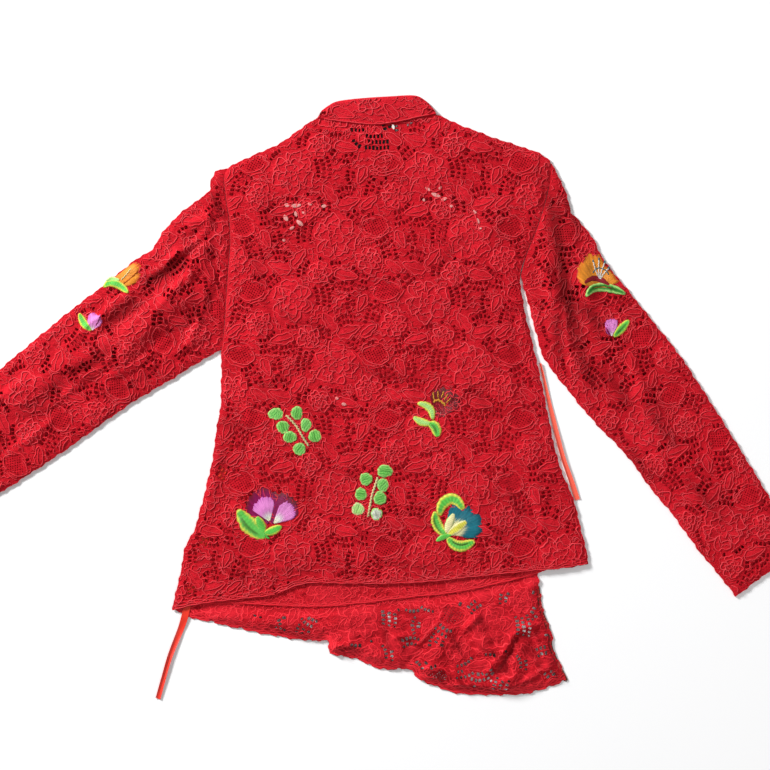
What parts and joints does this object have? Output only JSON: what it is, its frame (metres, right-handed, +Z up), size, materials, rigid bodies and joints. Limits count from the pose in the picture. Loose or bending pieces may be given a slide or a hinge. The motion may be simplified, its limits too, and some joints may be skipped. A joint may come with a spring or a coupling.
{
  "type": "lace wrap top",
  "caption": "Women's long-sleeved wrap top in corded lace with a small turned-down collar and ribbon ties, laid flat with its back face up.",
  "frame": {"origin": "middle of the garment's footprint, on the surface that it lies on", "axes": "+Z up from the surface, +X to the garment's right as seen from above with its collar away from the viewer, +Y towards the collar"},
  "size_m": [1.165, 0.7565, 0.0113],
  "materials": {
    "lace": "matte corded lace",
    "lace_front": "matte corded lace",
    "collar_cloth": "fine matte weave",
    "label_cloth": "plain woven patch",
    "orange_satin": "satin ribbon",
    "coral_satin": "satin ribbon"
  },
  "bodies": {
    "root": {"back": "lace", "front_over": "lace_front", "front_under": "lace_front", "sleeve_left_upper": "lace", "sleeve_left_under": "lace_front", "sleeve_right_upper": "lace", "sleeve_right_under": "lace_front", "collar": "collar_cloth", "neck_label": "label_cloth", "tie_left": "orange_satin", "tie_right": "coral_satin"}
  },
  "joints": []
}
